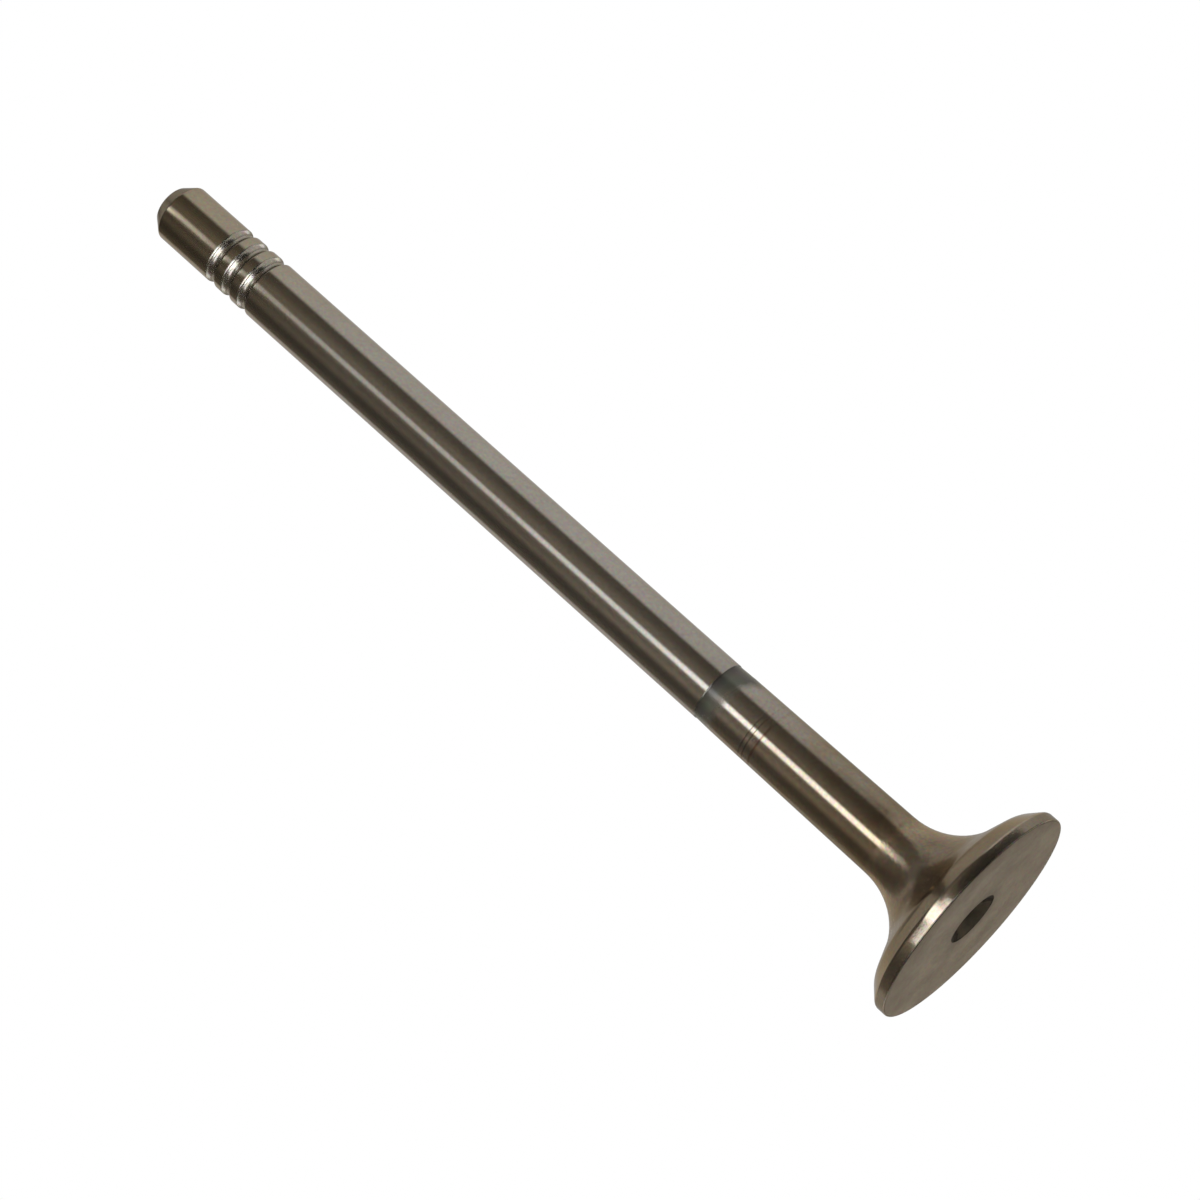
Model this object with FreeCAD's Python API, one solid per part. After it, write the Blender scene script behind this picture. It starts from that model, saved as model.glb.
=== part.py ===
# Engine valve: one forged and turned piece, modelled as a single revolved solid.
#
# Frame: the combustion face lies in the plane z = 0 with its centre at the origin, and the
# stem rises along +Z. The valve is the same all the way round its axis. Millimetres.
import math
import os
from collections import namedtuple

import FreeCAD
import Part

# Overall size
OVERALL_LENGTH = 152.0
STEM_DIAMETER = 8.97
HEAD_DIAMETER = 33.0

# Head, from the combustion face upwards
FACE_EDGE_BREAK = 0.2
MARGIN_HEIGHT = 1.6
SEAT_ANGLE = 45.0
SEAT_RISE = 1.95
SEAT_TOP_RADIUS = 0.6
BACK_CONE_ANGLE = 23.4
BACK_FILLET_RADIUS = 10.3

# Combustion face: a shallow dish with a rounded dimple at its centre
DISH_DIAMETER = 25.0
DISH_FLOOR_DIAMETER = 18.0
DISH_DEPTH = 0.1
DISH_BLEND_RADIUS = 12.0
DIMPLE_DIAMETER = 7.6
DIMPLE_FLOOR_DIAMETER = 4.0
DIMPLE_DEPTH = 1.1
DIMPLE_EDGE_RADIUS = 0.7

# Neck, between the back fillet and the end of the ground stem
NECK_TOP_DIAMETER = 9.0
NECK_TAPER_ANGLE = 0.5
NECK_BLEND_RADIUS = 3.0

# Relief where the ground stem ends: a short shoulder, then a shallow run-out to the neck
GROUND_STEM_START = 45.2
RELIEF_LENGTH = 2.8
RELIEF_DEPTH = 0.08
RELIEF_SHOULDER_LENGTH = 0.15

# Keeper grooves, round-bottomed with short straight flanks, counted down from the tip
GROOVE_COUNT = 3
GROOVE_PITCH = 3.15
FIRST_GROOVE_FROM_TIP = 12.7
GROOVE_BOTTOM_RADIUS = 0.9
GROOVE_DEPTH = 0.5
GROOVE_FLANK_ANGLE = 54.0
GROOVE_RIM_BREAK = 0.12

# Stem tip
TIP_CHAMFER_LENGTH = 2.0
TIP_CHAMFER_WIDTH = 1.5
TIP_EDGE_RADIUS = 0.5

AXIS_BASE = FreeCAD.Vector(0, 0, 0)
AXIS = FreeCAD.Vector(0, 0, 1)

# A corner of the half section, left sharp, rounded by a tangent arc or cut by a bevel
Corner = namedtuple("Corner", "radius height rounding bevel", defaults=(0, 0))


def line_crossing(point_a, slope_a, point_b, slope_b):
    """Where two lines of the half section cross, each height as a slope of radius."""
    radius_a, height_a = point_a
    radius_b, height_b = point_b
    radius = (height_b - height_a + slope_a * radius_a - slope_b * radius_b) / (slope_a - slope_b)
    return radius, height_a + slope_a * (radius - radius_a)


def finished_corner(before, corner, after, rounding, bevel):
    """Where the outline leaves and meets again its straight lines, and the edge between."""
    back = (before - corner).normalize()
    ahead = (after - corner).normalize()
    if rounding:
        half_angle = back.getAngle(ahead) / 2
        bisector = (back + ahead).normalize()
        centre = corner + bisector * (rounding / math.sin(half_angle))
        reach = rounding / math.tan(half_angle)
        start = corner + back * reach
        end = corner + ahead * reach
        return start, end, Part.Arc(start, centre - bisector * rounding, end)
    if bevel:
        start = corner + back * bevel
        end = corner + ahead * bevel
        return start, end, Part.LineSegment(start, end)
    return corner, corner, None


def section_wire(corners):
    """The closed half section in the XZ plane, with its corners finished."""
    points = [FreeCAD.Vector(corner.radius, 0, corner.height) for corner in corners]
    finished = [
        finished_corner(
            points[index - 1],
            points[index],
            points[(index + 1) % len(points)],
            corner.rounding,
            corner.bevel,
        )
        for index, corner in enumerate(corners)
    ]
    edges = []
    for index, (_, line_start, corner_edge) in enumerate(finished):
        line_end = finished[(index + 1) % len(finished)][0]
        if corner_edge:
            edges.append(corner_edge.toShape())
        edges.append(Part.LineSegment(line_start, line_end).toShape())
    return Part.Wire(edges)


def face_corners():
    """Dimple, dish and rim of the combustion face, from the axis outwards."""
    dimple_floor = DISH_DEPTH + DIMPLE_DEPTH
    return [
        Corner(0, dimple_floor),
        Corner(DIMPLE_FLOOR_DIAMETER / 2, dimple_floor, rounding=DIMPLE_EDGE_RADIUS),
        Corner(DIMPLE_DIAMETER / 2, DISH_DEPTH, rounding=DIMPLE_EDGE_RADIUS),
        Corner(DISH_FLOOR_DIAMETER / 2, DISH_DEPTH, rounding=DISH_BLEND_RADIUS),
        Corner(DISH_DIAMETER / 2, 0, rounding=DISH_BLEND_RADIUS),
        Corner(HEAD_DIAMETER / 2, 0, bevel=FACE_EDGE_BREAK),
    ]


def head_corners():
    """Margin, conical seat and the corner where the back cone would meet the neck."""
    head_radius = HEAD_DIAMETER / 2
    seat_run = SEAT_RISE / math.tan(math.radians(SEAT_ANGLE))
    seat_top = (head_radius - seat_run, MARGIN_HEIGHT + SEAT_RISE)
    neck_top = (NECK_TOP_DIAMETER / 2, GROUND_STEM_START - RELIEF_LENGTH)
    cone_slope = -math.tan(math.radians(BACK_CONE_ANGLE))
    neck_slope = -1 / math.tan(math.radians(NECK_TAPER_ANGLE))
    neck_foot = line_crossing(seat_top, cone_slope, neck_top, neck_slope)
    return [
        Corner(head_radius, MARGIN_HEIGHT),
        Corner(*seat_top, rounding=SEAT_TOP_RADIUS),
        Corner(*neck_foot, rounding=BACK_FILLET_RADIUS),
    ]


def relief_corners():
    """From the top of the neck over the relief to the foot of the ground stem."""
    stem_radius = STEM_DIAMETER / 2
    neck_top = GROUND_STEM_START - RELIEF_LENGTH
    return [
        Corner(NECK_TOP_DIAMETER / 2, neck_top, rounding=NECK_BLEND_RADIUS),
        Corner(stem_radius - RELIEF_DEPTH, GROUND_STEM_START - RELIEF_SHOULDER_LENGTH),
        Corner(stem_radius, GROUND_STEM_START),
    ]


def groove_corners(height):
    """One keeper groove centred at a height, from its lower rim to its upper rim."""
    stem_radius = STEM_DIAMETER / 2
    flank = math.radians(GROOVE_FLANK_ANGLE)
    flank_crossing_depth = GROOVE_DEPTH + GROOVE_BOTTOM_RADIUS * (1 / math.cos(flank) - 1)
    half_width = flank_crossing_depth / math.tan(flank)
    return [
        Corner(stem_radius, height - half_width, bevel=GROOVE_RIM_BREAK),
        Corner(stem_radius - flank_crossing_depth, height, rounding=GROOVE_BOTTOM_RADIUS),
        Corner(stem_radius, height + half_width, bevel=GROOVE_RIM_BREAK),
    ]


def keeper_corners():
    """The row of keeper grooves, from the lowest up."""
    corners = []
    for number in reversed(range(GROOVE_COUNT)):
        from_tip = FIRST_GROOVE_FROM_TIP + number * GROOVE_PITCH
        corners += groove_corners(OVERALL_LENGTH - from_tip)
    return corners


def tip_corners():
    """Chamfered tip, ending on the axis."""
    stem_radius = STEM_DIAMETER / 2
    chamfer_foot = OVERALL_LENGTH - TIP_CHAMFER_LENGTH
    tip_face_radius = stem_radius - TIP_CHAMFER_WIDTH
    return [
        Corner(stem_radius, chamfer_foot, rounding=TIP_EDGE_RADIUS),
        Corner(tip_face_radius, OVERALL_LENGTH, rounding=TIP_EDGE_RADIUS),
        Corner(0, OVERALL_LENGTH),
    ]


def make_valve():
    """The whole valve, turned about its axis."""
    corners = face_corners() + head_corners() + relief_corners() + keeper_corners() + tip_corners()
    return Part.Face(section_wire(corners)).revolve(AXIS_BASE, AXIS, 360)


def main():
    os.makedirs("parts", exist_ok=True)
    make_valve().exportStep("parts/valve.step")


main()
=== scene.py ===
import math
from collections import namedtuple

import bpy
from mathutils import Matrix, Vector


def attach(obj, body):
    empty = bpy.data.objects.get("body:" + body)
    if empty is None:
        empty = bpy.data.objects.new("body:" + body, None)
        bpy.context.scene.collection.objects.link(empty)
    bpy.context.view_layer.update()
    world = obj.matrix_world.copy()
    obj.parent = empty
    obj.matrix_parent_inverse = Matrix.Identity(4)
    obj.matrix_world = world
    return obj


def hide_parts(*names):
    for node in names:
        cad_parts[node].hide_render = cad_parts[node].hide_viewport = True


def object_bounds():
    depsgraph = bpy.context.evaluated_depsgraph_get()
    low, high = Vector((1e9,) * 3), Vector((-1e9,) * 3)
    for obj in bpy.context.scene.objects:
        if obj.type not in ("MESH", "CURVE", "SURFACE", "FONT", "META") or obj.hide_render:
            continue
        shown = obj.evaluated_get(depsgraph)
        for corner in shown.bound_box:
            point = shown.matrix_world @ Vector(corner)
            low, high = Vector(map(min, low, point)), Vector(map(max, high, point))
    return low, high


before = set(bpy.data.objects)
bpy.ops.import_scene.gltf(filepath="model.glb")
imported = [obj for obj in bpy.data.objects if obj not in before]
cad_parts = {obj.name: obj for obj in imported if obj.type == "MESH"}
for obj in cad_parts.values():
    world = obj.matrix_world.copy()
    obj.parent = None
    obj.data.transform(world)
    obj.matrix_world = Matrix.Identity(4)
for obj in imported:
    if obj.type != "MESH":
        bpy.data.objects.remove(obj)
cad_low, cad_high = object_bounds()

# The valve stands on its combustion face at z = 0, with its stem along +Z. Metres.
MM = 0.001

# Sizes of the CAD part
HEAD_RADIUS = cad_high.x
OVERALL_LENGTH = cad_high.z
STEM_RADIUS = 4.485 * MM

MARGIN_HEIGHT = 1.6 * MM
SEAT_ANGLE = math.radians(45)
SEAT_RISE = 1.95 * MM
BACK_CONE_ANGLE = math.radians(23.4)
BACK_FILLET_RADIUS = 10.3 * MM

DISH_RADIUS = 12.5 * MM
DISH_FLOOR_RADIUS = 9 * MM
DISH_DEPTH = 0.1 * MM
DISH_BLEND_RADIUS = 12 * MM
DIMPLE_RADIUS = 3.8 * MM
DIMPLE_FLOOR_RADIUS = 2 * MM
DIMPLE_DEPTH = 1.1 * MM
DIMPLE_EDGE_RADIUS = 0.7 * MM

NECK_TOP_RADIUS = 4.5 * MM
NECK_TAPER_ANGLE = math.radians(0.5)
NECK_BLEND_RADIUS = 3 * MM
GROUND_STEM_START = 45.2 * MM
RELIEF_LENGTH = 2.8 * MM
RELIEF_DEPTH = 0.08 * MM
RELIEF_SHOULDER_LENGTH = 0.15 * MM

GROOVE_COUNT = 3
GROOVE_PITCH = 3.15 * MM
FIRST_GROOVE_FROM_TIP = 12.7 * MM
GROOVE_BOTTOM_RADIUS = 0.9 * MM
GROOVE_DEPTH = 0.5 * MM
GROOVE_FLANK_ANGLE = math.radians(54)

TIP_CHAMFER_LENGTH = 2 * MM
TIP_CHAMFER_WIDTH = 1.5 * MM
TIP_EDGE_RADIUS = 0.5 * MM

# Edges rounded otherwise than the CAD part's. Each moves the surface by less than 0.1 mm.
FACE_EDGE_BREAK = 0.2 * MM
MARGIN_EDGE_ROUNDING = 0.65 * MM
SEAT_TOP_RADIUS = 4 * MM
GROOVE_RIM_ROUNDING = 0.3 * MM

# Mesh density of the turned surface, and the angle from which an edge stays hard
TURN_SEGMENTS = 256
ARC_STEP = math.radians(5)
FEWEST_ARC_STEPS = 4
LONGEST_SPAN = 2.5 * MM
SHARP_ANGLE = math.radians(20)

# The photograph's camera: it looks up at the face of the head, and the tip points up and left.
# The sensor and the lens are in millimetres.
VIEW_DISTANCE = 485 * MM
VIEW_ELEVATION = math.radians(-19)
VIEW_AIM_HEIGHT = 65.8 * MM
VIEW_SIDESTEP = -1.34 * MM
AXIS_SLOPE_IN_PHOTO = math.radians(41.8)
SENSOR_WIDTH = 36.0
LENS_LENGTH = 109.8
NEAREST_SEEN = 0.01
FARTHEST_SEEN = 20

# A corner of the turned section. Its finish is that of the surface that runs on from it.
Corner = namedtuple("Corner", "radius height finish rounding", defaults=(0,))


def line_crossing(point_a, slope_a, point_b, slope_b):
    """Where two lines of the section cross, each height as a slope of radius."""
    radius_a, height_a = point_a
    radius_b, height_b = point_b
    radius = (height_b - height_a + slope_a * radius_a - slope_b * radius_b) / (slope_a - slope_b)
    return radius, height_a + slope_a * (radius - radius_a)


def face_corners():
    """Dimple, dish and rim of the combustion face, from the axis outwards."""
    dimple_floor = DISH_DEPTH + DIMPLE_DEPTH
    return [
        Corner(0, dimple_floor, "dimple"),
        Corner(DIMPLE_FLOOR_RADIUS, dimple_floor, "dimple", DIMPLE_EDGE_RADIUS),
        Corner(DIMPLE_RADIUS, DISH_DEPTH, "face", DIMPLE_EDGE_RADIUS),
        Corner(DISH_FLOOR_RADIUS, DISH_DEPTH, "face", DISH_BLEND_RADIUS),
        Corner(DISH_RADIUS, 0, "face", DISH_BLEND_RADIUS),
        Corner(HEAD_RADIUS, 0, "seat", FACE_EDGE_BREAK),
    ]


def head_corners():
    """Margin, conical seat and the corner where the back cone would meet the neck."""
    seat_run = SEAT_RISE / math.tan(SEAT_ANGLE)
    seat_top = (HEAD_RADIUS - seat_run, MARGIN_HEIGHT + SEAT_RISE)
    neck_top = (NECK_TOP_RADIUS, GROUND_STEM_START - RELIEF_LENGTH)
    cone_slope = -math.tan(BACK_CONE_ANGLE)
    neck_slope = -1 / math.tan(NECK_TAPER_ANGLE)
    neck_foot = line_crossing(seat_top, cone_slope, neck_top, neck_slope)
    return [
        Corner(HEAD_RADIUS, MARGIN_HEIGHT, "seat", MARGIN_EDGE_ROUNDING),
        Corner(*seat_top, "back", SEAT_TOP_RADIUS),
        Corner(*neck_foot, "neck", BACK_FILLET_RADIUS),
    ]


def relief_corners():
    """From the top of the neck over the relief to the foot of the ground stem."""
    return [
        Corner(NECK_TOP_RADIUS, GROUND_STEM_START - RELIEF_LENGTH, "neck", NECK_BLEND_RADIUS),
        Corner(STEM_RADIUS - RELIEF_DEPTH, GROUND_STEM_START - RELIEF_SHOULDER_LENGTH, "neck"),
        Corner(STEM_RADIUS, GROUND_STEM_START, "stem"),
    ]


def groove_corners(height):
    """One keeper groove centred at a height, from its lower rim to its upper rim."""
    crossing_depth = GROOVE_DEPTH + GROOVE_BOTTOM_RADIUS * (1 / math.cos(GROOVE_FLANK_ANGLE) - 1)
    half_width = crossing_depth / math.tan(GROOVE_FLANK_ANGLE)
    return [
        Corner(STEM_RADIUS, height - half_width, "groove", GROOVE_RIM_ROUNDING),
        Corner(STEM_RADIUS - crossing_depth, height, "groove", GROOVE_BOTTOM_RADIUS),
        Corner(STEM_RADIUS, height + half_width, "stem", GROOVE_RIM_ROUNDING),
    ]


def keeper_corners():
    """The row of keeper grooves, from the lowest up."""
    corners = []
    for number in reversed(range(GROOVE_COUNT)):
        from_tip = FIRST_GROOVE_FROM_TIP + number * GROOVE_PITCH
        corners += groove_corners(OVERALL_LENGTH - from_tip)
    return corners


def tip_corners():
    """Chamfered tip, ending on the axis."""
    return [
        Corner(STEM_RADIUS, OVERALL_LENGTH - TIP_CHAMFER_LENGTH, "stem", TIP_EDGE_RADIUS),
        Corner(STEM_RADIUS - TIP_CHAMFER_WIDTH, OVERALL_LENGTH, "stem", TIP_EDGE_RADIUS),
        Corner(0, OVERALL_LENGTH, "stem"),
    ]


def rounded_points(before, corner, after, rounding):
    """Points of the arc that rounds a corner of the section, or the bare corner."""
    if not rounding:
        return [corner]
    back = (before - corner).normalized()
    ahead = (after - corner).normalized()
    half_angle = back.angle(ahead) / 2
    bisector = (back + ahead).normalized()
    centre = corner + bisector * (rounding / math.sin(half_angle))
    sweep = math.pi - 2 * half_angle
    steps = max(FEWEST_ARC_STEPS, math.ceil(sweep / ARC_STEP))
    start = corner + back * (rounding / math.tan(half_angle)) - centre
    turn = math.copysign(sweep, start.y * back.x - start.x * back.y)
    points = []
    for step in range(steps + 1):
        angle = turn * step / steps
        points.append(centre + Matrix.Rotation(angle, 2) @ start)
    return points


def section_points(corners):
    """The section as points with the finish that runs on from each, no span too long."""
    places = [Vector((corner.radius, corner.height)) for corner in corners]
    points = []
    for index, corner in enumerate(corners):
        before = places[index - 1]
        after = places[(index + 1) % len(places)]
        arc = rounded_points(before, places[index], after, corner.rounding)
        if points:
            last, finish = points[-1]
            spans = math.ceil((arc[0] - last).length / LONGEST_SPAN)
            points += [(last.lerp(arc[0], k / spans), finish) for k in range(1, spans)]
        finish_before = points[-1][1] if points else corner.finish
        points += [(point, finish_before) for point in arc[:-1]]
        points.append((arc[-1], corner.finish))
    return points


def turned_mesh(name, points, finishes):
    """A closed mesh turned about Z, with the length along the section kept as an attribute."""
    rings = points[1:-1]
    vertices = [(0, 0, points[0][0].y)]
    lengths = [0.0]
    length = 0.0
    previous = points[0][0]
    for place, _ in rings:
        length += (place - previous).length
        previous = place
        for segment in range(TURN_SEGMENTS):
            angle = 2 * math.pi * segment / TURN_SEGMENTS
            vertices.append((place.x * math.cos(angle), place.x * math.sin(angle), place.y))
            lengths.append(length)
    vertices.append((0, 0, points[-1][0].y))
    lengths.append(length + (points[-1][0] - previous).length)
    last = len(vertices) - 1
    top_ring = last - TURN_SEGMENTS

    faces = []
    face_finishes = []
    for segment in range(TURN_SEGMENTS):
        after = (segment + 1) % TURN_SEGMENTS
        faces.append((0, 1 + after, 1 + segment))
        face_finishes.append(points[0][1])
        for ring in range(len(rings) - 1):
            low = 1 + ring * TURN_SEGMENTS
            high = low + TURN_SEGMENTS
            faces.append((low + segment, low + after, high + after, high + segment))
            face_finishes.append(rings[ring][1])
        faces.append((top_ring + segment, top_ring + after, last))
        face_finishes.append(rings[-1][1])

    mesh = bpy.data.meshes.new(name)
    mesh.from_pydata(vertices, [], faces)
    attribute = mesh.attributes.new("section_length", "FLOAT", "POINT")
    attribute.data.foreach_set("value", lengths)
    mesh.polygons.foreach_set("material_index", [finishes.index(f) for f in face_finishes])
    mesh.polygons.foreach_set("use_smooth", [True] * len(faces))
    mesh.set_sharp_from_angle(angle=SHARP_ANGLE)
    return mesh


def add_object(name, data):
    """A new object in the scene."""
    thing = bpy.data.objects.new(name, data)
    bpy.context.collection.objects.link(thing)
    return thing


def add_node(tree, kind, settings=None, **inputs):
    """A node with its settings made and its inputs linked or filled.

    An input goes by its name, with _ for a space, or by its number, as in _0.
    """
    node = tree.nodes.new(kind)
    for key, value in (settings or {}).items():
        setattr(node, key, value)
    for key, value in inputs.items():
        socket = node.inputs[int(key[1:])] if key[0] == "_" else node.inputs[key.replace("_", " ")]
        if isinstance(value, bpy.types.NodeSocket):
            tree.links.new(value, socket)
        else:
            socket.default_value = value
    return node


def math_node(tree, operation, *values):
    """The result of one operation, each value a socket or a number."""
    inputs = {f"_{index}": value for index, value in enumerate(values)}
    return add_node(tree, "ShaderNodeMath", {"operation": operation}, **inputs).outputs[0]


def ramp_node(tree, factor, stops):
    """A colour ramp from (place, colour) stops; a colour may be one grey value."""
    node = add_node(tree, "ShaderNodeValToRGB", _0=factor)
    elements = node.color_ramp.elements
    while len(elements) < len(stops):
        # Any place will do here, as each one is set below
        elements.new(0.5)
    for element, (place, colour) in zip(elements, stops):
        element.position = place
        rgb = colour if isinstance(colour, tuple) else (colour, colour, colour)
        element.color = (*rgb, 1)
    return node.outputs[0]


def mix_colours(tree, blend, share, first, second):
    """Two colours blended, each one a socket or a plain RGB."""
    colours = [
        colour if isinstance(colour, bpy.types.NodeSocket) else (*colour, 1)
        for colour in (first, second)
    ]
    settings = {"data_type": "RGBA", "blend_type": blend}
    mix = add_node(tree, "ShaderNodeMix", settings, _0=share, _6=colours[0], _7=colours[1])
    return mix.outputs[2]


def shaded(tree, colour, shade):
    """A colour multiplied by a shade, each one a socket or a plain RGB."""
    return mix_colours(tree, "MULTIPLY", 1.0, colour, shade)


def mix_shaders(tree, share, first, second):
    """Two shader nodes mixed."""
    return add_node(
        tree, "ShaderNodeMixShader", _0=share, _1=first.outputs[0], _2=second.outputs[0]
    )


def bare_material(name):
    """A new material with an empty node tree."""
    material = bpy.data.materials.new(name)
    material.use_nodes = True
    material.node_tree.nodes.clear()
    return material, material.node_tree


# Colour of the clean steel by height in mm: browned by heat at the head, greyer on the stem
# and brown again towards the tip
HEAT_COLOURS = [
    (1.4, (0.285, 0.24, 0.185)),
    (2.2, (0.29, 0.226, 0.15)),
    (4, (0.28, 0.22, 0.158)),
    (7, (0.268, 0.217, 0.163)),
    (13, (0.268, 0.212, 0.15)),
    (22, (0.275, 0.235, 0.177)),
    (40, (0.298, 0.27, 0.234)),
    (60, (0.31, 0.284, 0.248)),
    (115, (0.305, 0.28, 0.242)),
    (148, (0.28, 0.235, 0.168)),
]

# Shade of the combustion face by radius in mm: painted shade round the dimple, faint rings
# and painted shade on the outer edge, which dims its reflection
FACE_RINGS_AND_SHADE = [
    (3.9, 0.5),
    (4.6, 0.62),
    (6, 0.86),
    (8, 1.0),
    (10.5, 0.87),
    (16.2, 0.87),
    (16.35, 0.45),
]
# Painted shade: the face is darker on its -Y side, by place along Y in mm
FACE_SIDE_SHADE = [(-16, 0.58), (-12, 0.72), (-4, 0.82), (0, 1.0)]

# Fine rings of dirt and rust on the neck: height and half width in mm, and shade
NECK_MARKS = [
    (35.35, 0.25, (0.6, 0.42, 0.36)),
    (36.55, 0.14, (0.4, 0.38, 0.34)),
    (37.2, 0.14, (0.45, 0.42, 0.38)),
]
# How strong those rings are, by place along X in mm
NECK_MARK_SIDES = [(-4.5, 0.8), (0.5, 1.0), (1.6, 0.2), (4.5, 0.2)]

# The grey film in the relief: how far it covers the neck by height in mm, painted shadow by the
# shoulder, painted shade on the +X side, where it reaches lower, and ragged where it ends
FILM_COVER = [(42.0, 0.0), (43.6, 1.0)]
FILM_SHOULDER_SHADOW = [(43.8, 1.0), (44.8, 0.72), (45.2, 0.5)]
FILM_SIDE_SHADE = [(-4.5, 1.0), (0.6, 1.05), (3.4, 0.7)]
FILM_LEAN = 0.4
FILM_RAGGED = 3.2 * MM
FILM_PATCH_SCALE = 420.0
FILM_PATCH_DETAIL = 4.0
FILM_PATCH_ROUGHNESS = 0.6
FILM_COLOUR = (0.125, 0.124, 0.104)
FILM_ROUGHNESS = 0.24
FILM_METAL = 0.6
FILM_CLOUDING = 0.3

# Noise: stains in patches, fine grain, turning lines and scuffs drawn out along the axis.
# Stains come in, and turning lines fade out, from one noise value to another.
PATCH_DETAIL = 5.0
PATCH_ROUGHNESS = 0.6
STAIN_FROM = 0.38
STAIN_FULL = 0.64
GRAIN_SCALE = 2200.0
GRAIN_DETAIL = 2.0
GRAIN_ROUGHNESS = 0.7
LINE_DETAIL = 2.0
LINE_DARKEST = 0.3
LINE_CLEAR = 0.7
SCUFF_STRETCH = (1.0, 1.0, 0.06)
SCUFF_SCALE = 1500.0
SCUFF_DETAIL = 4.0

# The share of the roughness that varies, and the depths of lines and pits
ROUGHNESS_SPREAD = 0.3
LINE_DEPTH = 0.004 * MM
PIT_DEPTH = 0.0075 * MM

# How one finish of the steel looks. A colour of None takes the heat colours. The stain and the
# line shade multiply the colour, the edge is the colour at low angles, and a metal share under
# 1 leaves a dull film of soot and oil. The extra is "rings" on the face and "film" on the neck,
# both of which also add painted shade.
Look = namedtuple(
    "Look",
    "colour stain patch_scale mottle roughness line_pitch line_shade line_relief pits edge"
    " metal extra",
    defaults=(None,),
)


def ramp_over(tree, distance, stops):
    """A ramp over a distance in metres, from (distance in mm, colour) stops."""
    low = min(place for place, _ in stops)
    span = max(place for place, _ in stops) - low
    share = math_node(tree, "MULTIPLY_ADD", distance, 1 / (span * MM), -low / span)
    return ramp_node(tree, share, [((place - low) / span, shade) for place, shade in stops])


def neck_marks(tree, along_x, height, colour):
    """Rings of dirt and rust round the neck."""
    stops = []
    for middle, half_width, shade in NECK_MARKS:
        stops += [(middle - half_width, 1.0), (middle, shade), (middle + half_width, 1.0)]
    share = ramp_over(tree, along_x, NECK_MARK_SIDES)
    return mix_colours(tree, "MULTIPLY", share, colour, ramp_over(tree, height, stops))


def face_shade(tree, place, along_y, colour):
    """Rings and painted shade round the face's axis, and painted shade on its -Y side."""
    flat = add_node(
        tree, "ShaderNodeVectorMath", {"operation": "MULTIPLY"}, _0=place, _1=(1, 1, 0)
    )
    radius = add_node(
        tree, "ShaderNodeVectorMath", {"operation": "LENGTH"}, _0=flat.outputs[0]
    )
    # Painted shade round the dimple and at the outer edge, faint rings, then painted shade on the
    # -Y side
    ringed = shaded(tree, colour, ramp_over(tree, radius.outputs["Value"], FACE_RINGS_AND_SHADE))
    return shaded(tree, ringed, ramp_over(tree, along_y, FACE_SIDE_SHADE))


def relief_film(tree, place, along_x, height, steel):
    """The relief's grey film, with painted shadow and shade, laid over a finished steel."""
    cloud = add_node(
        tree,
        "ShaderNodeTexNoise",
        Vector=place,
        Scale=FILM_PATCH_SCALE,
        Detail=FILM_PATCH_DETAIL,
        Roughness=FILM_PATCH_ROUGHNESS,
    )
    ragged = math_node(tree, "MULTIPLY_ADD", cloud.outputs["Fac"], FILM_RAGGED, -FILM_RAGGED / 2)
    lean = math_node(tree, "MULTIPLY", math_node(tree, "MAXIMUM", along_x, 0.0), FILM_LEAN)
    reach = math_node(tree, "ADD", math_node(tree, "ADD", height, ragged), lean)
    cover = ramp_over(tree, reach, FILM_COVER)
    # Painted shadow by the shoulder, and painted shade on the +X side
    film = shaded(tree, FILM_COLOUR, ramp_over(tree, height, FILM_SHOULDER_SHADOW))
    film = shaded(tree, film, ramp_over(tree, along_x, FILM_SIDE_SHADE))
    film = mix_colours(tree, "OVERLAY", FILM_CLOUDING, film, cloud.outputs["Color"])

    clean = steel.inputs["Base Color"].links[0].from_socket
    tree.links.new(mix_colours(tree, "MIX", cover, clean, film), steel.inputs["Base Color"])
    rough = steel.inputs["Roughness"].links[0].from_socket
    change = math_node(tree, "SUBTRACT", FILM_ROUGHNESS, rough)
    tree.links.new(math_node(tree, "MULTIPLY_ADD", cover, change, rough), steel.inputs["Roughness"])
    metal = steel.inputs["Metallic"].default_value
    tree.links.new(
        math_node(tree, "MULTIPLY_ADD", cover, FILM_METAL - metal, metal), steel.inputs["Metallic"]
    )


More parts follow.
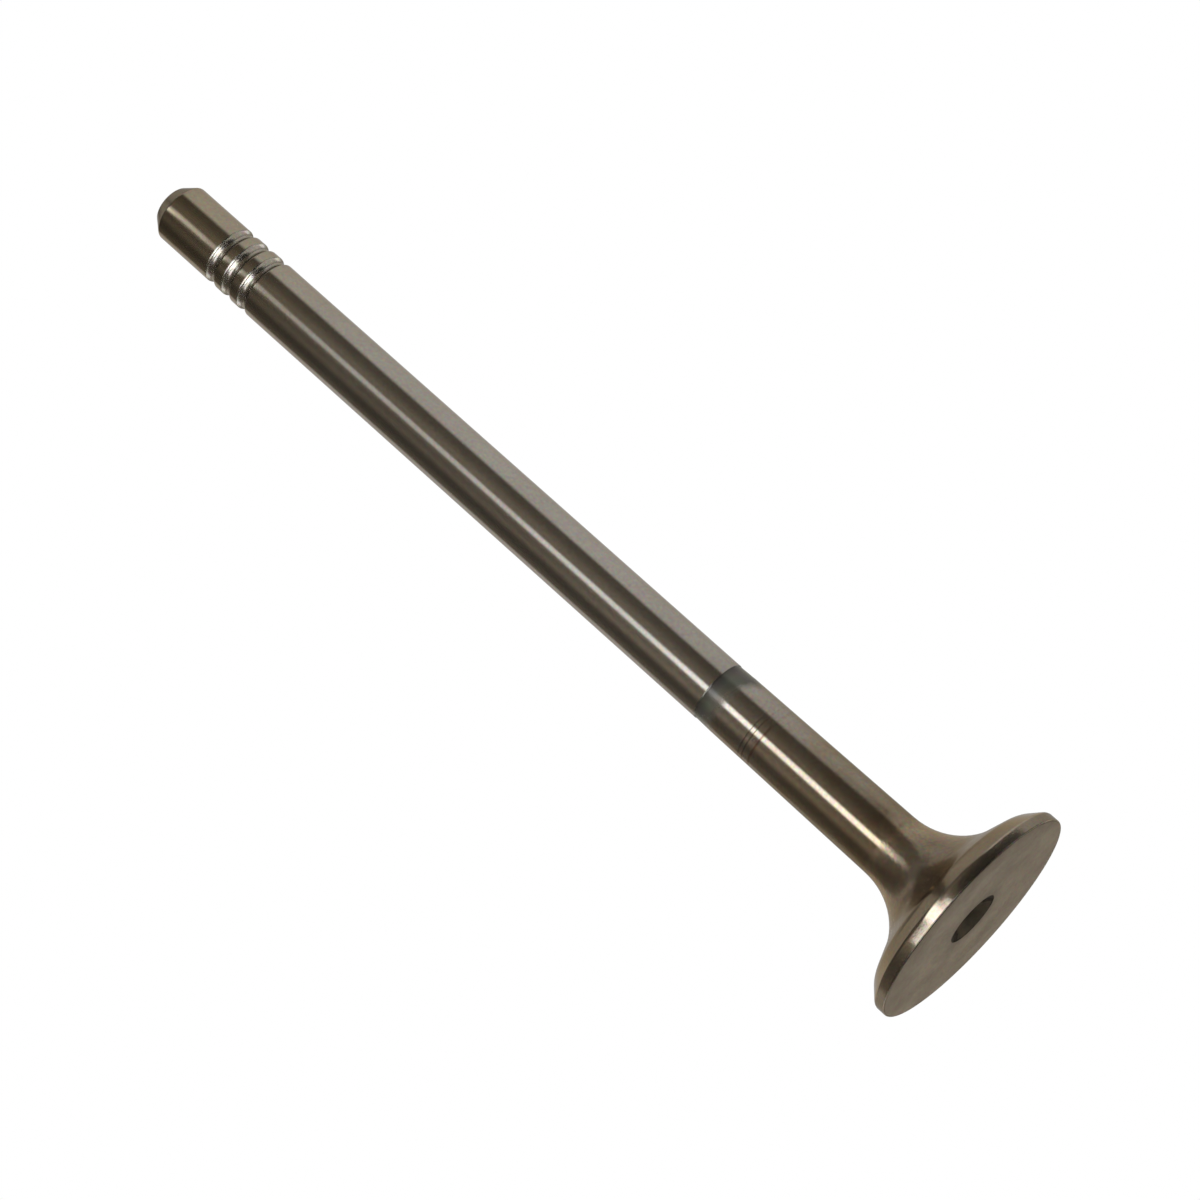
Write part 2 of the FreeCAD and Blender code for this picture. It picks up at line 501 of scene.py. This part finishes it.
def make_steel(name, look):
    """Turned or ground steel: stained in patches, lined round the axis and worn unevenly."""
    material = bpy.data.materials.new(name)
    material.use_nodes = True
    tree = material.node_tree
    steel = tree.nodes["Principled BSDF"]
    place = add_node(tree, "ShaderNodeTexCoord").outputs["Object"]
    parts = add_node(tree, "ShaderNodeSeparateXYZ", Vector=place)
    height = parts.outputs["Z"]
    length = add_node(tree, "ShaderNodeAttribute", {"attribute_name": "section_length"})

    colour = look.colour or ramp_over(tree, height, HEAT_COLOURS)
    patches = add_node(
        tree,
        "ShaderNodeTexNoise",
        Vector=place,
        Scale=look.patch_scale,
        Detail=PATCH_DETAIL,
        Roughness=PATCH_ROUGHNESS,
    )
    stain_stops = [(STAIN_FROM, 1.0), (STAIN_FULL, look.stain)]
    stained = shaded(tree, colour, ramp_node(tree, patches.outputs["Fac"], stain_stops))
    # Painted shade on the face: round the dimple, at the outer edge and on the -Y side
    if look.extra == "rings":
        stained = face_shade(tree, place, parts.outputs["Y"], stained)
    if look.extra == "film":
        stained = neck_marks(tree, parts.outputs["X"], height, stained)
    grain = add_node(
        tree,
        "ShaderNodeTexNoise",
        Vector=place,
        Scale=GRAIN_SCALE,
        Detail=GRAIN_DETAIL,
        Roughness=GRAIN_ROUGHNESS,
    )
    mottled = mix_colours(tree, "OVERLAY", look.mottle, stained, grain.outputs["Color"])

    pitch = math_node(tree, "DIVIDE", length.outputs["Fac"], look.line_pitch)
    lines = add_node(
        tree,
        "ShaderNodeTexNoise",
        {"noise_dimensions": "1D"},
        W=pitch,
        Scale=1.0,
        Detail=LINE_DETAIL,
    )
    line_stops = [(LINE_DARKEST, 1 - look.line_shade), (LINE_CLEAR, 1.0)]
    lined = shaded(tree, mottled, ramp_node(tree, lines.outputs["Fac"], line_stops))
    tree.links.new(lined, steel.inputs["Base Color"])

    streaks = add_node(tree, "ShaderNodeMapping", Vector=place, Scale=SCUFF_STRETCH)
    scuffs = add_node(
        tree,
        "ShaderNodeTexNoise",
        Vector=streaks.outputs[0],
        Scale=SCUFF_SCALE,
        Detail=SCUFF_DETAIL,
    )
    uneven = math_node(tree, "ADD", scuffs.outputs["Fac"], patches.outputs["Fac"])
    spread = look.roughness * ROUGHNESS_SPREAD
    least = look.roughness * (1 - ROUGHNESS_SPREAD)
    rough = math_node(tree, "MULTIPLY_ADD", uneven, spread, least)
    tree.links.new(rough, steel.inputs["Roughness"])

    bump = add_node(
        tree,
        "ShaderNodeBump",
        Strength=look.line_relief,
        Distance=LINE_DEPTH,
        Height=lines.outputs["Fac"],
    )
    pitted = add_node(
        tree,
        "ShaderNodeBump",
        Strength=1.0,
        Distance=look.pits * PIT_DEPTH,
        Height=grain.outputs["Fac"],
        Normal=bump.outputs[0],
    )
    tree.links.new(pitted.outputs[0], steel.inputs["Normal"])
    steel.inputs["Metallic"].default_value = look.metal
    steel.inputs["Specular Tint"].default_value = (*look.edge, 1)
    # The neck's film adds a painted shadow by the shoulder and painted shade on the +X side
    if look.extra == "film":
        relief_film(tree, place, parts.outputs["X"], height, steel)
    return material


LOOKS = {
    "face": Look(
        colour=(0.324, 0.272, 0.212),
        stain=(0.66, 0.64, 0.61),
        patch_scale=170.0,
        mottle=0.9,
        roughness=0.32,
        line_pitch=0.12 * MM,
        line_shade=0.12,
        line_relief=0.5,
        pits=1.6,
        edge=(0.95, 0.84, 0.69),
        metal=0.93,
        extra="rings",
    ),
    # The dimple's very dark colour is painted shade, standing for the shade in the recess
    "dimple": Look(
        colour=(0.069, 0.056, 0.04),
        stain=(0.6, 0.62, 0.6),
        patch_scale=500.0,
        mottle=0.35,
        roughness=0.45,
        line_pitch=0.2 * MM,
        line_shade=0.1,
        line_relief=0.5,
        pits=2.0,
        edge=(0.25, 0.215, 0.175),
        metal=0.85,
    ),
    "seat": Look(
        colour=None,
        stain=(0.94, 0.92, 0.88),
        patch_scale=300.0,
        mottle=0.35,
        roughness=0.13,
        line_pitch=0.1 * MM,
        line_shade=0.05,
        line_relief=0.3,
        pits=0.9,
        edge=(0.64, 0.58, 0.5),
        metal=0.93,
    ),
    "back": Look(
        colour=None,
        stain=(0.88, 0.83, 0.75),
        patch_scale=230.0,
        mottle=0.6,
        roughness=0.21,
        line_pitch=0.15 * MM,
        line_shade=0.06,
        line_relief=0.4,
        pits=2.4,
        edge=(0.66, 0.59, 0.49),
        metal=0.9,
    ),
    "neck": Look(
        colour=None,
        stain=(0.94, 0.87, 0.78),
        patch_scale=200.0,
        mottle=0.4,
        roughness=0.115,
        line_pitch=0.12 * MM,
        line_shade=0.06,
        line_relief=0.4,
        pits=0.4,
        edge=(0.6, 0.55, 0.48),
        metal=0.94,
        extra="film",
    ),
    "groove": Look(
        colour=(0.33, 0.3, 0.255),
        stain=(0.8, 0.78, 0.74),
        patch_scale=400.0,
        mottle=0.35,
        roughness=0.25,
        line_pitch=0.1 * MM,
        line_shade=0.05,
        line_relief=0.3,
        pits=0.9,
        edge=(0.62, 0.58, 0.52),
        metal=0.95,
    ),
    "stem": Look(
        colour=None,
        stain=(0.93, 0.92, 0.9),
        patch_scale=150.0,
        mottle=0.35,
        roughness=0.14,
        line_pitch=0.08 * MM,
        line_shade=0.05,
        line_relief=0.3,
        pits=0.3,
        edge=(0.66, 0.62, 0.58),
        metal=0.96,
    ),
}


def make_valve():
    """The whole valve as one turned mesh, in place of the CAD solid."""
    materials = [make_steel(finish + "_steel", look) for finish, look in LOOKS.items()]
    corners = face_corners() + head_corners() + relief_corners() + keeper_corners() + tip_corners()
    mesh = turned_mesh("turned_valve", section_points(corners), list(LOOKS))
    for material in materials:
        mesh.materials.append(material)
    valve = add_object("turned_valve", mesh)
    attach(valve, "root")
    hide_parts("valve")


# Floor. The photograph looks up at the face that the valve stands on, so the floor is clear
# from below and in reflections, and has a hole under the head.
FLOOR_RADIUS = 2.0
FLOOR_HOLE_RADIUS = HEAD_RADIUS - FACE_EDGE_BREAK / 2
FLOOR_SEGMENTS = 128
FLOOR_COLOUR = (0.86, 0.85, 0.83)


def make_floor():
    """A pale disc with a hole that ends just inside the head's rim."""
    vertices = []
    faces = []
    for segment in range(FLOOR_SEGMENTS):
        angle = 2 * math.pi * segment / FLOOR_SEGMENTS
        for radius in (FLOOR_HOLE_RADIUS, FLOOR_RADIUS):
            vertices.append((radius * math.cos(angle), radius * math.sin(angle), 0))
        after = (segment + 1) % FLOOR_SEGMENTS
        faces.append((2 * segment, 2 * segment + 1, 2 * after + 1, 2 * after))
    mesh = bpy.data.meshes.new("floor")
    mesh.from_pydata(vertices, [], faces)
    floor = add_object("floor", mesh)
    material, tree = bare_material("floor_paint")
    paint = add_node(tree, "ShaderNodeBsdfDiffuse", Color=(*FLOOR_COLOUR, 1))
    clear = add_node(tree, "ShaderNodeBsdfTransparent")
    side = add_node(tree, "ShaderNodeNewGeometry")
    rays = add_node(tree, "ShaderNodeLightPath")
    unseen = math_node(tree, "MAXIMUM", side.outputs["Backfacing"], rays.outputs["Is Glossy Ray"])
    mix = mix_shaders(tree, unseen, paint, clear)
    add_node(tree, "ShaderNodeOutputMaterial", Surface=mix.outputs[0])
    mesh.materials.append(material)


# World and lamps. Azimuths are in degrees from the camera's side, -Y, towards -X.
PLAIN_WHITE = Vector((1.0, 1.0, 1.0))
AMBIENT_GREY = (0.6, 0.6, 0.6)


def heading(azimuth, elevation):
    """Unit vector at an azimuth and elevation, both in degrees."""
    turn = math.radians(azimuth)
    rise = math.radians(elevation)
    flat = math.cos(rise)
    return Vector((-math.sin(turn) * flat, -math.cos(turn) * flat, math.sin(rise)))


def make_world():
    """White to the camera and in reflections, and an even grey light on all else."""
    world = bpy.data.worlds.new("studio")
    bpy.context.scene.world = world
    world.use_nodes = True
    tree = world.node_tree
    tree.nodes.clear()
    rays = add_node(tree, "ShaderNodeLightPath")
    seen = math_node(tree, "MAXIMUM", rays.outputs["Is Camera Ray"], rays.outputs["Is Glossy Ray"])
    seen = math_node(tree, "MAXIMUM", seen, rays.outputs["Is Transmission Ray"])
    ambient = add_node(tree, "ShaderNodeBackground", Color=(*AMBIENT_GREY, 1), Strength=1.0)
    white = add_node(tree, "ShaderNodeBackground", Color=(*PLAIN_WHITE, 1), Strength=1.0)
    mix = mix_shaders(tree, seen, ambient, white)
    add_node(tree, "ShaderNodeOutputWorld", Surface=mix.outputs[0])


def reflections_only(thing):
    """The thing shows in polished metal and nowhere else."""
    thing.visible_camera = False
    thing.visible_diffuse = False
    thing.visible_shadow = False
    thing.visible_transmission = False
    thing.visible_volume_scatter = False


# The dim room in front of the valve: light on a large sphere that only reflections show.
# Its stops go by elevation or azimuth, in degrees.
ROOM_RADIUS = 2.4
ROOM_CENTRE_HEIGHT = 76 * MM
ROOM_STEP = 1.5
ROOM_TINT = Vector((0.94, 0.825, 0.66))
WHITE_TOLERANCE = 0.01

# Azimuths of its edges against the light side, by elevation
ROOM_LEFT_EDGE = [
    (4, -58),
    (7, -95),
    (11.5, -95),
    (13, -64),
    (14, -60),
    (16, -55.5),
    (19, -56.5),
]
ROOM_RIGHT_EDGE = [(12.5, 120), (14, 140), (17, 128)]
ROOM_EDGE_SOFTNESS = 5

# Its level by azimuth, and the share of it that is left by elevation
ROOM_LEVELS = [
    (-45, 0.17),
    (-30, 0.21),
    (-8, 0.385),
    (20, 0.34),
    (38, 0.19),
    (55, 0.28),
    (75, 0.1),
    (92, 0.1),
    (115, 0.24),
]
ROOM_HIGH_SHARE = [(25, 1.0), (33, 0.65), (48, 0.8), (60, 0.85)]

# Low down it is dimmer by elevation, as far as the azimuth says
ROOM_LOW_SHARE = [(11, 0.08), (13, 0.68), (17, 0.95), (21, 1.0)]
ROOM_LOW_SIDE = [(-15, 1.0), (5, 0.0)]

# On the other side it is brighter there, in the same way
ROOM_GLOW = [(12, 1.2), (14.5, 1.9), (16.5, 1.9), (20, 1.0)]
ROOM_GLOW_SIDE = [(25, 0.0), (30, 0.9), (58, 1.0), (70, 0.6), (80, 0.3), (95, 0.1)]

# High up its level varies once more by azimuth, as far as the elevation says
ROOM_HIGH_SIDE = [
    (-30, 1.0),
    (-12, 0.8),
    (0, 0.4),
    (8, 0.45),
    (16, 1.0),
    (24, 1.2),
    (33, 0.75),
    (46, 0.7),
    (60, 1.0),
]
ROOM_HIGH_FROM = [(34, 0.0), (46, 1.0)]

# Its ceiling: the elevation that it starts at, by azimuth to either side, and a patch beside it
ROOM_TOP = [(130, 72), (150, 83)]
ROOM_TOP_LEVEL = 0.23
ROOM_TOP_TINT = Vector((0.98, 1.04, 1.08))
ROOM_PATCH_AZIMUTHS = (149, 170)
ROOM_PATCH_ELEVATIONS = (52, 68)
ROOM_PATCH_SOFTNESS = 3

# The far end of the strip lamp, which only the back of the head shows: levels by elevation
FAR_STRIP_AZIMUTHS = (15.5, 28)
FAR_STRIP_SOFTNESS = 2
FAR_STRIP_LEVELS = [(30, 0.0), (33, 2.2), (38, 1.9), (49, 0.9), (61, 0.45), (78, 0.0)]

# The light side: levels by elevation, less bright straight behind
SHADE_LEVELS = [
    (-90, 0.3),
    (-18, 0.33),
    (-8, 0.7),
    (8, 0.6),
    (13, 0.68),
    (17, 1.0),
    (30, 1.0),
    (50, 0.6),
    (90, 0.58),
]
SHADE_BEHIND = [(150, 1.0), (175, 0.6)]
SHADE_BEHIND_FROM = [(-5, 0.0), (10, 1.0)]

# Below the horizon the light side is bright, but for the part that the combustion face shows
LOW_LIGHT = 0.95
LOW_LIGHT_TOP = [(-5, 1.0), (0, 0.0)]
LOW_LIGHT_SIDE = [(145, 1.0), (163, 0.0)]

# Far low lamps: the window that the keeper grooves show, in two panes, and a strip on each
# side behind
LAMP_TINT = Vector((0.95, 1.01, 1.09))
FarLamp = namedtuple("FarLamp", "azimuths elevations level softness")
FAR_LAMPS = [
    FarLamp((1, 56), (-25, 3), level=3.4, softness=1.3),
    FarLamp((1, 56), (-62, -37), level=3.2, softness=1.3),
    FarLamp((128, 142), (-48, 2), level=2.6, softness=2.5),
    FarLamp((-142, -128), (-48, 2), level=2.6, softness=2.5),
]

# A tall strip lamp that leans, above a wide low window, close by on a cylinder round the axis.
# Its stops go by height in mm, and azimuths and the strip's half width are in degrees.
LAMP_DISTANCE = 130 * MM
LAMP_AZIMUTHS = (-10, 60)
LAMP_HEIGHTS = (-160, 700)
LAMP_STEP_TURN = 1
LAMP_STEP_UP = 3
STRIP_AZIMUTH = [
    (30, 18.5),
    (50, 18.3),
    (68, 17),
    (100, 15.8),
    (141, 14.2),
    (190, 13),
    (215, 13),
    (245, 23),
    (500, 36),
]
STRIP_HALF_WIDTH = [(68, 8.3), (100, 7.8), (215, 7.4)]
STRIP_SOFTNESS = 3
STRIP_LEVELS = [
    (-150, 0.6),
    (0, 4.4),
    (40, 4.8),
    (54, 4.6),
    (60, 3.5),
    (81, 3.6),
    (91, 2.1),
    (97, 1.75),
    (118, 1.72),
    (132, 1.15),
    (142, 1.0),
    (180, 0.76),
    (192, 0.62),
    (203, 0.85),
    (215, 1.35),
    (260, 1.1),
    (350, 0.6),
    (500, 0.2),
    (690, 0.0),
]
WINDOW_AZIMUTHS = (0.9, 48.5)
WINDOW_TOP = 26
WINDOW_LEVELS = [(-155, 0.0), (-120, 3.9), (0, 3.9), (16, 2.9)]
WINDOW_TOP_SOFTNESS = 2
WINDOW_SOFTNESS = 0.5


def between(value, stops):
    """The value that a list of (place, level) stops gives at a place."""
    if value <= stops[0][0]:
        return stops[0][1]
    for (low, level), (high, next_level) in zip(stops, stops[1:]):
        if value <= high:
            return level + (next_level - level) * (value - low) / (high - low)
    return stops[-1][1]


def inside(value, low, high, softness):
    """1 between two bounds, falling to 0 over the softness on each side of them."""
    rise = (value - low) / (2 * softness) + 0.5
    fall = (high - value) / (2 * softness) + 0.5
    return max(0.0, min(1.0, rise, fall))


def room_colour(azimuth, elevation):
    """What the metal reflects from a direction."""
    left = between(elevation, ROOM_LEFT_EDGE)
    right = between(elevation, ROOM_RIGHT_EDGE)
    cover = inside(azimuth, left, right, ROOM_EDGE_SOFTNESS)
    dimmed = 1 - (1 - between(elevation, ROOM_LOW_SHARE)) * between(azimuth, ROOM_LOW_SIDE)
    glow = 1 + (between(elevation, ROOM_GLOW) - 1) * between(azimuth, ROOM_GLOW_SIDE)
    high = 1 + (between(azimuth, ROOM_HIGH_SIDE) - 1) * between(elevation, ROOM_HIGH_FROM)
    dark = between(azimuth, ROOM_LEVELS) * between(elevation, ROOM_HIGH_SHARE)
    dark *= dimmed * glow * high
    top_from = between(abs(azimuth), ROOM_TOP)
    top = inside(elevation, top_from, math.inf, ROOM_EDGE_SOFTNESS)
    patch = inside(azimuth, *ROOM_PATCH_AZIMUTHS, ROOM_PATCH_SOFTNESS)
    top = max(top, patch * inside(elevation, *ROOM_PATCH_ELEVATIONS, ROOM_PATCH_SOFTNESS))
    room = (ROOM_TINT * dark).lerp(ROOM_TOP_TINT * ROOM_TOP_LEVEL, top)
    cover = max(cover, top)
    behind = (1 - between(abs(azimuth), SHADE_BEHIND)) * between(elevation, SHADE_BEHIND_FROM)
    shade = between(elevation, SHADE_LEVELS) * (1 - behind)
    low = between(elevation, LOW_LIGHT_TOP) * between(abs(azimuth), LOW_LIGHT_SIDE)
    shade += (LOW_LIGHT - shade) * low
    colour = (PLAIN_WHITE * shade).lerp(room, cover)
    for lamp in FAR_LAMPS:
        lit = inside(azimuth, *lamp.azimuths, lamp.softness)
        lit *= inside(elevation, *lamp.elevations, lamp.softness)
        colour = colour.lerp(LAMP_TINT * lamp.level, lit)
    far_strip = inside(azimuth, *FAR_STRIP_AZIMUTHS, FAR_STRIP_SOFTNESS)
    return colour + LAMP_TINT * far_strip * between(elevation, FAR_STRIP_LEVELS)


def lamp_level(azimuth, height):
    """Light of the lamps at a place of their cylinder, in degrees and mm."""
    offset = abs(azimuth - between(height, STRIP_AZIMUTH))
    strip = inside(offset, -math.inf, between(height, STRIP_HALF_WIDTH), STRIP_SOFTNESS)
    strip *= between(height, STRIP_LEVELS)
    window = inside(azimuth, *WINDOW_AZIMUTHS, WINDOW_SOFTNESS)
    window *= inside(height, -math.inf, WINDOW_TOP, WINDOW_TOP_SOFTNESS)
    return max(strip, window * between(height, WINDOW_LEVELS))


def grid_faces(rows, columns, closed, shows):
    """Faces of a grid of points, kept where a corner shows; a closed row ends where it began."""
    faces = []
    for row in range(rows - 1):
        low = row * columns
        high = low + columns
        for column in range(columns if closed else columns - 1):
            after = (column + 1) % columns
            face = (low + column, low + after, high + after, high + column)
            if any(shows[corner] for corner in face):
                faces.append(face)
    return faces


def light_material(name):
    """A bare material that isn't sampled as a lamp, and the light kept at its mesh's points."""
    material, tree = bare_material(name)
    material.cycles.emission_sampling = "NONE"
    light = add_node(tree, "ShaderNodeAttribute", {"attribute_name": "light"})
    return material, tree, light


def make_room():
    """The part of a large sphere that isn't plain white, with its light kept at its points."""
    across = round(360 / ROOM_STEP)
    upward = round(180 / ROOM_STEP)
    centre = Vector((0, 0, ROOM_CENTRE_HEIGHT))
    vertices = []
    colours = []
    for row in range(upward + 1):
        elevation = row * ROOM_STEP - 90
        for column in range(across):
            azimuth = column * ROOM_STEP - 180
            vertices.append(centre + ROOM_RADIUS * heading(azimuth, elevation))
            colours.append(room_colour(azimuth, elevation))
    shows = [(colour - PLAIN_WHITE).length > WHITE_TOLERANCE for colour in colours]
    mesh = bpy.data.meshes.new("dim_room")
    mesh.from_pydata(vertices, [], grid_faces(upward + 1, across, True, shows))
    kept = mesh.attributes.new("light", "FLOAT_COLOR", "POINT")
    kept.data.foreach_set("color", [part for colour in colours for part in (*colour, 1)])
    room = add_object("dim_room", mesh)

    material, tree, light = light_material("room_light")
    glow = add_node(tree, "ShaderNodeEmission", Color=light.outputs["Color"])
    add_node(tree, "ShaderNodeOutputMaterial", Surface=glow.outputs[0])
    mesh.materials.append(material)
    reflections_only(room)


def make_lamps():
    """The near lamps as a sheet of light that adds to the room behind it."""
    turns = range(LAMP_AZIMUTHS[0], LAMP_AZIMUTHS[1] + 1, LAMP_STEP_TURN)
    heights = range(LAMP_HEIGHTS[0], LAMP_HEIGHTS[1] + 1, LAMP_STEP_UP)
    vertices = []
    levels = []
    for height in heights:
        for azimuth in turns:
            vertices.append(LAMP_DISTANCE * heading(azimuth, 0) + Vector((0, 0, height * MM)))
            levels.append(lamp_level(azimuth, height))
    shows = [level > 0 for level in levels]
    mesh = bpy.data.meshes.new("lamps")
    mesh.from_pydata(vertices, [], grid_faces(len(heights), len(turns), False, shows))
    mesh.attributes.new("light", "FLOAT", "POINT").data.foreach_set("value", levels)
    lamps = add_object("lamps", mesh)

    material, tree, light = light_material("lamp_light")
    glow = add_node(
        tree, "ShaderNodeEmission", Color=(*LAMP_TINT, 1), Strength=light.outputs["Fac"]
    )
    clear = add_node(tree, "ShaderNodeBsdfTransparent")
    both = add_node(tree, "ShaderNodeAddShader", _0=glow.outputs[0], _1=clear.outputs[0])
    add_node(tree, "ShaderNodeOutputMaterial", Surface=both.outputs[0])
    mesh.materials.append(material)
    reflections_only(lamps)


# A soft lamp overhead, which only lights what is matt
OVERHEAD_PLACE = Vector((-0.4, -0.3, 1.6))
OVERHEAD_SIZE = 1.2
OVERHEAD_POWER = 14


def make_overhead():
    """The overhead lamp, aimed at the foot of the valve."""
    light = bpy.data.lights.new("overhead", "AREA")
    light.shape = "DISK"
    light.size = OVERHEAD_SIZE
    light.energy = OVERHEAD_POWER
    lamp = add_object("overhead", light)
    lamp.location = OVERHEAD_PLACE
    lamp.rotation_euler = (-OVERHEAD_PLACE).to_track_quat("-Z", "Y").to_euler()
    lamp.visible_camera = False
    lamp.visible_glossy = False


def make_camera():
    """The scene's camera, as the photograph's."""
    data = bpy.data.cameras.new("camera")
    data.sensor_width = SENSOR_WIDTH
    data.lens = LENS_LENGTH
    data.clip_start = NEAREST_SEEN
    data.clip_end = FARTHEST_SEEN
    camera = add_object("camera", data)
    forward = Vector((0, math.cos(VIEW_ELEVATION), -math.sin(VIEW_ELEVATION)))
    along = Vector((0, -math.sin(VIEW_ELEVATION), -math.cos(VIEW_ELEVATION)))
    across = Vector((-1, 0, 0))
    right = math.cos(AXIS_SLOPE_IN_PHOTO) * along - math.sin(AXIS_SLOPE_IN_PHOTO) * across
    up = right.cross(forward)
    place = Vector((VIEW_SIDESTEP, 0, VIEW_AIM_HEIGHT)) - VIEW_DISTANCE * forward
    camera.matrix_world = Matrix(
        (
            (right.x, up.x, -forward.x, place.x),
            (right.y, up.y, -forward.y, place.y),
            (right.z, up.z, -forward.z, place.z),
            (0, 0, 0, 1),
        )
    )
    bpy.context.scene.camera = camera


make_valve()
make_floor()
make_world()
make_room()
make_lamps()
make_overhead()
make_camera()
bpy.context.scene.view_settings.view_transform = "Standard"
